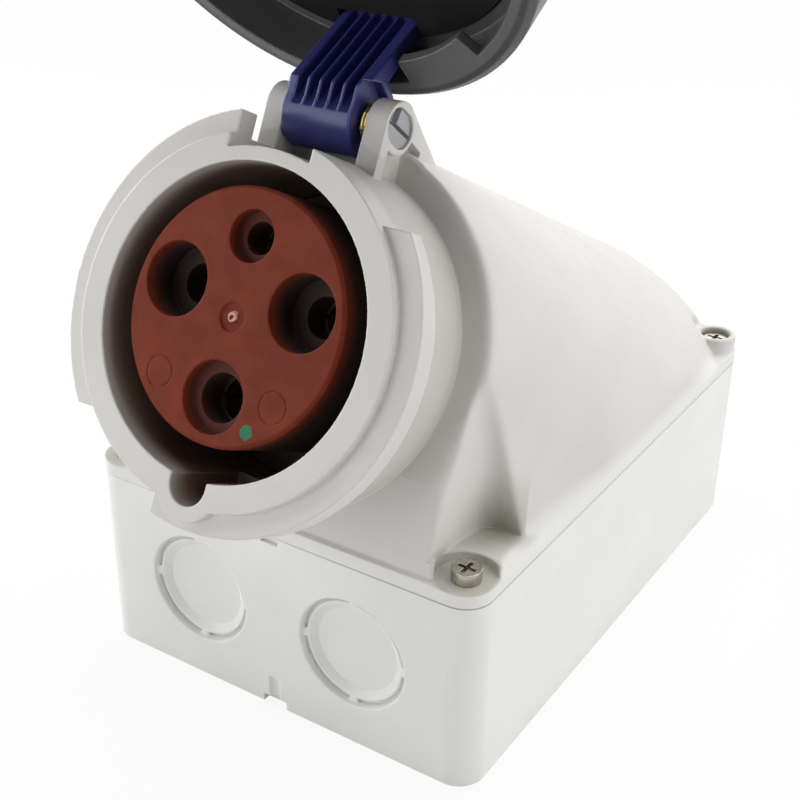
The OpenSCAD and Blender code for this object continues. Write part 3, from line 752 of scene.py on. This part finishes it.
def soften(node, depth, passes, blends=(), trim=None):
    """Stands a copy with rounded edges for a solid. It keeps the solid's smooth shading.

    Each blend rounds further: it holds a function that weighs points, and its passes.
    A trim moves points first.
    """
    solid = SOLIDS[node]
    piece = bpy.data.objects.new(node + "_moulded", solid.data.copy())
    bpy.context.scene.collection.objects.link(piece)
    skin = piece.modifiers.new("skin", "REMESH")
    skin.mode = "SHARP"
    skin.octree_depth = depth
    skin.scale = 0.95
    skin.use_remove_disconnected = False
    freeze(piece)
    points = vectors(piece.data.vertices, "co").astype(float)
    facing = vectors(piece.data.vertex_normals, "vector").astype(float)
    blended = np.zeros(len(points))
    if trim:
        points, blended = trim(points, facing)
        piece.data.vertices.foreach_set("co", points.astype(np.float32).ravel())
    for weigh, blend_passes in blends:
        weights = weigh(points, facing)
        blended = np.maximum(blended, weights)
        smooth(piece, blend_passes, weights)
    smooth(piece, passes)
    keep(piece, "own", "FLOAT_VECTOR", "vector", vectors(piece.data.vertex_normals, "vector"))
    keep(piece, "blended", "FLOAT", "value", blended)
    thin(piece, TRIANGLES[node])
    shade_as_solid(piece, solid)
    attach(piece, BODY_OF[node])
    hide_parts(node)
    return piece


def smooth(piece, passes, weights=None):
    """Evens out a piece, everywhere or by the weights of its points."""
    rounding = piece.modifiers.new("rounding", "SMOOTH")
    rounding.factor = 0.5
    rounding.iterations = passes
    if weights is not None:
        group = piece.vertex_groups.new(name="blend")
        steps = 8
        levels = np.round(weights * steps).astype(int)
        for level in range(1, steps + 1):
            group.add(np.flatnonzero(levels == level).tolist(), level / steps, "REPLACE")
        rounding.vertex_group = group.name
    freeze(piece)
    piece.vertex_groups.clear()


def keep(piece, name, kind, field, values):
    """Stores a value at each point of a piece."""
    layer = piece.data.attributes.new(name, kind, "POINT")
    layer.data.foreach_set(field, np.asarray(values, np.float32).ravel())


def thin(piece, budget):
    """Brings a piece down to a number of triangles."""
    triangles = 2 * len(piece.data.polygons)
    if triangles > budget:
        thinning = piece.modifiers.new("thinning", "DECIMATE")
        thinning.ratio = budget / triangles
        freeze(piece)


def shade_as_solid(piece, solid):
    """Takes the solid's normals for faces and the piece's own for edges and blends."""
    mesh = piece.data
    points = vectors(mesh.vertices, "co").astype(float)
    own = unit(vectors(mesh.attributes["own"].data, "vector").astype(float))
    blended = np.zeros(len(points), np.float32)
    mesh.attributes["blended"].data.foreach_get("value", blended)
    mesh.attributes.remove(mesh.attributes["own"])
    mesh.attributes.remove(mesh.attributes["blended"])
    near, true = solid_normals(solid, points)
    turn = np.degrees(np.arccos(np.clip((own * true).sum(1), -1.0, 1.0)))
    share = np.maximum(np.clip((turn - 7.0) / 12.0, 0.0, 1.0), blended)[:, None]
    side = np.sign(((near - points) * own).sum(1))
    edge = side * np.clip(turn / 45.0, 0.0, 1.0) * (1.0 - blended)
    keep(piece, "edge", "FLOAT", "value", edge)
    mesh.polygons.foreach_set("use_smooth", np.ones(len(mesh.polygons), bool))
    mesh.normals_split_custom_set_from_vertices(unit(true * (1 - share) + own * share))


def ramp(values, low, high):
    """Zero at low, one at high, and a straight line between."""
    return np.clip((values - low) / (high - low), 0.0, 1.0)


def seat_places(points):
    """Points in the socket's own axes, in millimetres."""
    offset = (points - np.array(SEAT)) / MM
    up = np.array((0.0, SEAT_AXIS.z, -SEAT_AXIS.y))
    return offset[:, 0], offset @ up, offset @ np.array(SEAT_AXIS)


def from_screws(points, rear):
    """Distance of points from the axes of the cover screws in front or at the rear."""
    x, y = points[:, 0] / MM, points[:, 1] / MM
    return np.hypot(np.abs(x) - SCREW_PLACE[0], y - rear * SCREW_PLACE[1])


def straight_pockets(points, facing):
    """Carries the flat side of each front pocket over the hollow for the screwdriver.

    It also closes the slit behind each rear screw post, from inside the wall.
    """
    moved = points.copy()
    x, y, z = (points / MM).T
    wall = POCKET_SIDE + (z - POCKET_FLOOR) * POCKET_SIDE_LEAN
    hollow = from_screws(points, -1) < HOLLOW_RADIUS
    hollow &= (z > HOLLOW_FOOT) & (np.abs(x) < wall)
    moved[hollow, 0] = (np.sign(x) * wall)[hollow] * MM
    away = np.stack([x - np.sign(x) * SCREW_PLACE[0], y - SCREW_PLACE[1]], axis=1)
    radius = np.linalg.norm(away, axis=1)
    away = away / np.maximum(radius, 1e-6)[:, None]
    slit = np.abs(radius - SLIT_RADIUS) < SLIT_REACH
    slit &= (z > SLIT_HEIGHTS[0]) & (z < SLIT_HEIGHTS[1])
    slit &= (facing[:, :2] * away).sum(1) > SLIT_FACING
    slit &= np.sign(x) * away[:, 0] < SLIT_SIDE
    moved[slit, :2] += SLIT_PUSH * away[slit]
    moved[slit, 2] += SLIT_LIFT * ramp(z, *SLIT_RIM)[slit]
    return moved, (hollow | slit).astype(float)


def ridges(points, facing):
    """Weighs the ridges of the shoulder, the screw pockets and their ledges."""
    x, v, s = seat_places(points)
    y, z = points[:, 1] / MM, points[:, 2] / MM
    aside = ramp(from_screws(points, -1), 8.6, 10.6)
    weight = ramp(z, 61.6, 63.0) * ramp(s, -29.0, -31.0) * ramp(np.hypot(x, v), 45.5, 47.0)
    weight *= np.maximum(aside, ramp(z, 63.0, 66.0))
    ledge = ramp(z, 54.4, 56.0) * ramp(np.abs(x), 54.0, 56.0) * aside
    ledge *= ramp(y, -76.0, -73.0) * ramp(y, -44.0, -48.0)
    return np.maximum(weight * (1.0 - by_ears(x, v)), ledge)


def by_ears(x, v):
    """Weighs the hinge ears and what lies between them."""
    return ramp(np.abs(x), 22.0, 20.0) * ramp(v, 38.0, 40.0)


def knockout_grooves(points, facing):
    """Weighs the grooves round the knockouts, which are soft and shallow."""
    x, y, z = (points / MM).T
    radius = np.hypot(np.abs(x) - KNOCKOUT_PLACE[0], z - KNOCKOUT_PLACE[1])
    ring = ramp(radius, 13.4, 13.9) * ramp(radius, 16.6, 16.1)
    return ring * (y < CAD_BOX[0].y / MM + 60.0) * (facing[:, 1] < 0.5)


def hood_flanks(points, facing):
    """Weighs the outer flanks of the hood, where its planes run into its cone."""
    x, v, s = seat_places(points)
    y, z = points[:, 1] / MM, points[:, 2] / MM
    weight = ramp(z, 54.2, 56.5) * ramp(s, -34.0, -45.0) * ramp(y, 70.0, 66.0)
    front = POCKET_REAR / MM + POCKET_LEAN * (z - POCKET_FLOOR)
    weight *= ramp(y - front, 1.0, 6.0) * ramp(from_screws(points, 1), 11.0, 14.0)
    ears = by_ears(x, v) * ramp(s, -52.0, -50.0)
    outward = facing[:, 0] * x + facing[:, 2] * (z - 40.0)
    return weight * (1.0 - ears) * (outward > 0.0)


def dress(piece, finish):
    piece.data.materials.clear()
    piece.data.materials.append(finish.material)


class WALLSOCKET_OT_base_box(Operator):
    """Base box with its knockouts"""

    bl_idname = "wall_socket.base_box"
    bl_label = "Base box"

    def execute(self, context):
        edges = context.scene.wall_socket_edges
        colours = context.scene.wall_socket_finish
        blends = ((knockout_grooves, edges.groove_passes),)
        piece = soften("base_box", edges.housing_depth, edges.edge_passes, blends)
        dress(piece, base_plastic(colours.base))
        return {"FINISHED"}


class WALLSOCKET_OT_cover(Operator):
    """Cover with its hood, collar, wings and hinge ears"""

    bl_idname = "wall_socket.cover"
    bl_label = "Cover"

    def execute(self, context):
        edges = context.scene.wall_socket_edges
        colours = context.scene.wall_socket_finish
        blends = ((ridges, edges.ridge_passes), (hood_flanks, edges.hood_passes))
        piece = soften(
            "cover_housing",
            edges.housing_depth,
            edges.edge_passes,
            blends,
            straight_pockets,
        )
        dress(piece, cover_plastic(colours.cover, colours.base))
        return {"FINISHED"}


class WALLSOCKET_OT_seals(Operator):
    """Gaskets of the cover, the carrier and the lid"""

    bl_idname = "wall_socket.seals"
    bl_label = "Seals"

    def execute(self, context):
        finish = rubber_skin(context.scene.wall_socket_finish.rubber)
        for node in ("cover_gasket", "carrier_seal", "lid_gasket"):
            dress(SOLIDS[node], finish)
        return {"FINISHED"}


class WALLSOCKET_OT_screws(Operator):
    """Cover screws, carrier screws and terminal screws"""

    bl_idname = "wall_socket.screws"
    bl_label = "Screws"

    def execute(self, context):
        edges = context.scene.wall_socket_edges
        finish = worn_metal("plated_steel", context.scene.wall_socket_finish.steel, 0.24)
        dress(soften("cover_screws", edges.screw_depth, 1), finish)
        for node in ("carrier_screws", "terminal_screws"):
            dress(SOLIDS[node], finish)
        return {"FINISHED"}


class WALLSOCKET_OT_carrier(Operator):
    """Red contact carrier and the block behind it"""

    bl_idname = "wall_socket.carrier"
    bl_label = "Contact carrier"

    def execute(self, context):
        edges = context.scene.wall_socket_edges
        colours = context.scene.wall_socket_finish
        piece = soften("contact_carrier", edges.insert_depth, edges.edge_passes)
        dress(piece, carrier_plastic(colours.carrier, colours.dot, colours.gate))
        dress(SOLIDS["carrier_base"], moulded_plastic("rear_plastic", colours.rear, 0.5))
        return {"FINISHED"}


class WALLSOCKET_OT_contacts(Operator):
    """Brass contacts and their spring rings"""

    bl_idname = "wall_socket.contacts"
    bl_label = "Contacts"

    def execute(self, context):
        colours = context.scene.wall_socket_finish
        brass = worn_metal("contact_brass", colours.brass, 0.3)
        for node in ("live_contact", "neutral_contact", "earth_contact", "pilot_contact"):
            dress(SOLIDS[node], brass)
        dress(SOLIDS["contact_rings"], worn_metal("spring_steel", colours.steel, 0.25))
        return {"FINISHED"}


class WALLSOCKET_OT_lid(Operator):
    """Blue lid with its grooved arm"""

    bl_idname = "wall_socket.lid"
    bl_label = "Lid"

    def execute(self, context):
        edges = context.scene.wall_socket_edges
        colours = context.scene.wall_socket_finish
        piece = soften("lid_cap", edges.lid_depth, edges.edge_passes)
        dress(piece, lid_plastic(colours.lid))
        return {"FINISHED"}


class WALLSOCKET_OT_ring(Operator):
    """Bayonet ring that turns on the lid"""

    bl_idname = "wall_socket.ring"
    bl_label = "Bayonet ring"

    def execute(self, context):
        edges = context.scene.wall_socket_edges
        colours = context.scene.wall_socket_finish
        piece = soften("bayonet_ring", edges.lid_depth, edges.edge_passes)
        dress(piece, ring_plastic(colours.ring))
        return {"FINISHED"}


class WALLSOCKET_OT_hinge(Operator):
    """Hinge pin, the plug over its end, and the hinge spring"""

    bl_idname = "wall_socket.hinge"
    bl_label = "Hinge"

    def execute(self, context):
        edges = context.scene.wall_socket_edges
        colours = context.scene.wall_socket_finish
        dress(SOLIDS["hinge_pin"], worn_metal("pin_steel", colours.steel, 0.25))
        piece = soften("pin_plug", edges.plug_depth, 2)
        dress(piece, moulded_plastic("plug_plastic", colours.plug, 0.4, 0.08))
        dress(SOLIDS["hinge_spring"], worn_metal("spring_wire", colours.wire, 0.3))
        return {"FINISHED"}


def floor_finish(glow):
    """Pale floor that looks white, most of all far off, and keeps a soft shadow."""
    finish = Finish("pale_floor")
    finish.tree.nodes.remove(finish.shader)
    pale = finish.add("BsdfDiffuse", Color=(0.9, 0.9, 0.9, 1.0)).outputs[0]
    white = finish.add("Emission", Color=(1.0, 1.0, 1.0, 1.0), Strength=1.0).outputs[0]
    along, across = finish.place_parts()[:2]
    far = finish.spread(finish.length(along, across), *FLOOR_FADE, glow, 1.0)
    seen = finish.add("MixShader", Fac=far)
    finish.put(seen.inputs[1], pale)
    finish.put(seen.inputs[2], white)
    surface = finish.add("MixShader", Fac=seen_directly(finish))
    finish.put(surface.inputs[1], pale)
    finish.put(surface.inputs[2], seen.outputs[0])
    finish.put(finish.output.inputs["Surface"], surface.outputs[0])
    return finish


def seen_directly(finish):
    """One for rays that show a surface, and zero for rays that only carry its light."""
    path = finish.add("LightPath").outputs
    shown = finish.math("MAXIMUM", path["Is Camera Ray"], path["Is Glossy Ray"])
    return finish.math("MAXIMUM", shown, path["Is Transmission Ray"])


def lamp(name, place, aim, size, power):
    """A square soft box that faces a point."""
    data = bpy.data.lights.new(name, "AREA")
    data.shape = "SQUARE"
    data.size = size
    data.energy = power
    obj = bpy.data.objects.new(name, data)
    obj.location = place
    obj.rotation_mode = "QUATERNION"
    obj.rotation_quaternion = (Vector(aim) - Vector(place)).to_track_quat("-Z", "Y")
    bpy.context.scene.collection.objects.link(obj)


def studio_world(ambient):
    """Even light from all round, white where it is seen."""
    world = bpy.data.worlds.new("studio")
    world.use_nodes = True
    tree = world.node_tree
    tree.nodes.clear()
    path = tree.nodes.new("ShaderNodeLightPath").outputs
    mirrored = tree.nodes.new("ShaderNodeMath")
    mirrored.operation = "MAXIMUM"
    tree.links.new(path["Is Glossy Ray"], mirrored.inputs[0])
    tree.links.new(path["Is Transmission Ray"], mirrored.inputs[1])
    shown = tree.nodes.new("ShaderNodeMath")
    shown.operation = "MAXIMUM"
    tree.links.new(path["Is Camera Ray"], shown.inputs[0])
    tree.links.new(mirrored.outputs[0], shown.inputs[1])
    strength = tree.nodes.new("ShaderNodeMapRange")
    strength.inputs["To Min"].default_value = ambient
    strength.inputs["To Max"].default_value = 1.0
    tree.links.new(shown.outputs[0], strength.inputs["Value"])
    sky = tree.nodes.new("ShaderNodeBackground")
    sky.inputs["Color"].default_value = (1.0, 1.0, 1.0, 1.0)
    tree.links.new(strength.outputs["Result"], sky.inputs["Strength"])
    output = tree.nodes.new("ShaderNodeOutputWorld")
    tree.links.new(sky.outputs[0], output.inputs["Surface"])
    bpy.context.scene.world = world


def plain_floor(glow):
    """A wide floor under the back face of the box."""
    mesh = bpy.data.meshes.new("floor")
    turns = ((-1, -1), (1, -1), (1, 1), (-1, 1))
    corners = [(x * FLOOR_REACH, y * FLOOR_REACH, 0) for x, y in turns]
    mesh.from_pydata(corners, [], [(0, 1, 2, 3)])
    floor = bpy.data.objects.new("floor", mesh)
    floor.location.z = CAD_BOX[0].z - 0.05 * MM
    bpy.context.scene.collection.objects.link(floor)
    dress(floor, floor_finish(glow))


def stand_camera(stage):
    data = bpy.data.cameras.new("camera")
    data.lens = stage.lens
    data.sensor_width = 36.0
    data.clip_start = 10 * MM
    camera = bpy.data.objects.new("camera", data)
    turn = (
        Matrix.Rotation(stage.camera_turn, 4, "Z")
        @ Matrix.Rotation(math.pi / 2 - stage.camera_drop, 4, "X")
        @ Matrix.Rotation(stage.camera_roll, 4, "Z")
    )
    camera.matrix_world = Matrix.Translation(stage.camera_place) @ turn
    bpy.context.scene.collection.objects.link(camera)
    bpy.context.scene.camera = camera


class WALLSOCKET_OT_stage(Operator):
    """Floor, lamps and camera"""

    bl_idname = "wall_socket.stage"
    bl_label = "Stage"

    def execute(self, context):
        stage = context.scene.wall_socket_stage
        middle = (CAD_BOX[0] + CAD_BOX[1]) / 2
        plain_floor(stage.floor_glow)
        studio_world(stage.ambient)
        for side, (place, size) in LAMPS.items():
            power = getattr(stage, side + "_power")
            lamp(side + "_light", place, middle, size, power)
        stand_camera(stage)
        context.scene.view_settings.view_transform = "Standard"
        return {"FINISHED"}


PIECES = (
    WALLSOCKET_OT_base_box,
    WALLSOCKET_OT_cover,
    WALLSOCKET_OT_seals,
    WALLSOCKET_OT_screws,
    WALLSOCKET_OT_carrier,
    WALLSOCKET_OT_contacts,
    WALLSOCKET_OT_lid,
    WALLSOCKET_OT_ring,
    WALLSOCKET_OT_hinge,
    WALLSOCKET_OT_stage,
)
SETTINGS = {
    "wall_socket_edges": SoftEdgeSettings,
    "wall_socket_finish": FinishSettings,
    "wall_socket_stage": StageSettings,
}


class WALLSOCKET_PT_pieces(Panel):
    """Lists the pieces of the wall socket and their settings"""

    bl_idname = "WALLSOCKET_PT_pieces"
    bl_label = "Wall socket"
    bl_space_type = "VIEW_3D"
    bl_region_type = "UI"
    bl_category = "Wall socket"

    def draw(self, context):
        for piece in PIECES:
            self.layout.operator(piece.bl_idname)
        for name, group in SETTINGS.items():
            box = self.layout.box()
            for field in group.__annotations__:
                box.prop(getattr(context.scene, name), field)


CLASSES = (*SETTINGS.values(), *PIECES, WALLSOCKET_PT_pieces)


def register():
    for cls in CLASSES:
        bpy.utils.register_class(cls)
    for name, group in SETTINGS.items():
        setattr(bpy.types.Scene, name, PointerProperty(type=group))


def unregister():
    for name in SETTINGS:
        delattr(bpy.types.Scene, name)
    for cls in reversed(CLASSES):
        bpy.utils.unregister_class(cls)


def main():
    register()
    bpy.ops.wall_socket.base_box()
    bpy.ops.wall_socket.cover()
    bpy.ops.wall_socket.seals()
    bpy.ops.wall_socket.screws()
    bpy.ops.wall_socket.carrier()
    bpy.ops.wall_socket.contacts()
    bpy.ops.wall_socket.lid()
    bpy.ops.wall_socket.ring()
    bpy.ops.wall_socket.hinge()
    bpy.ops.wall_socket.stage()


if __name__ == "__main__":
    main()
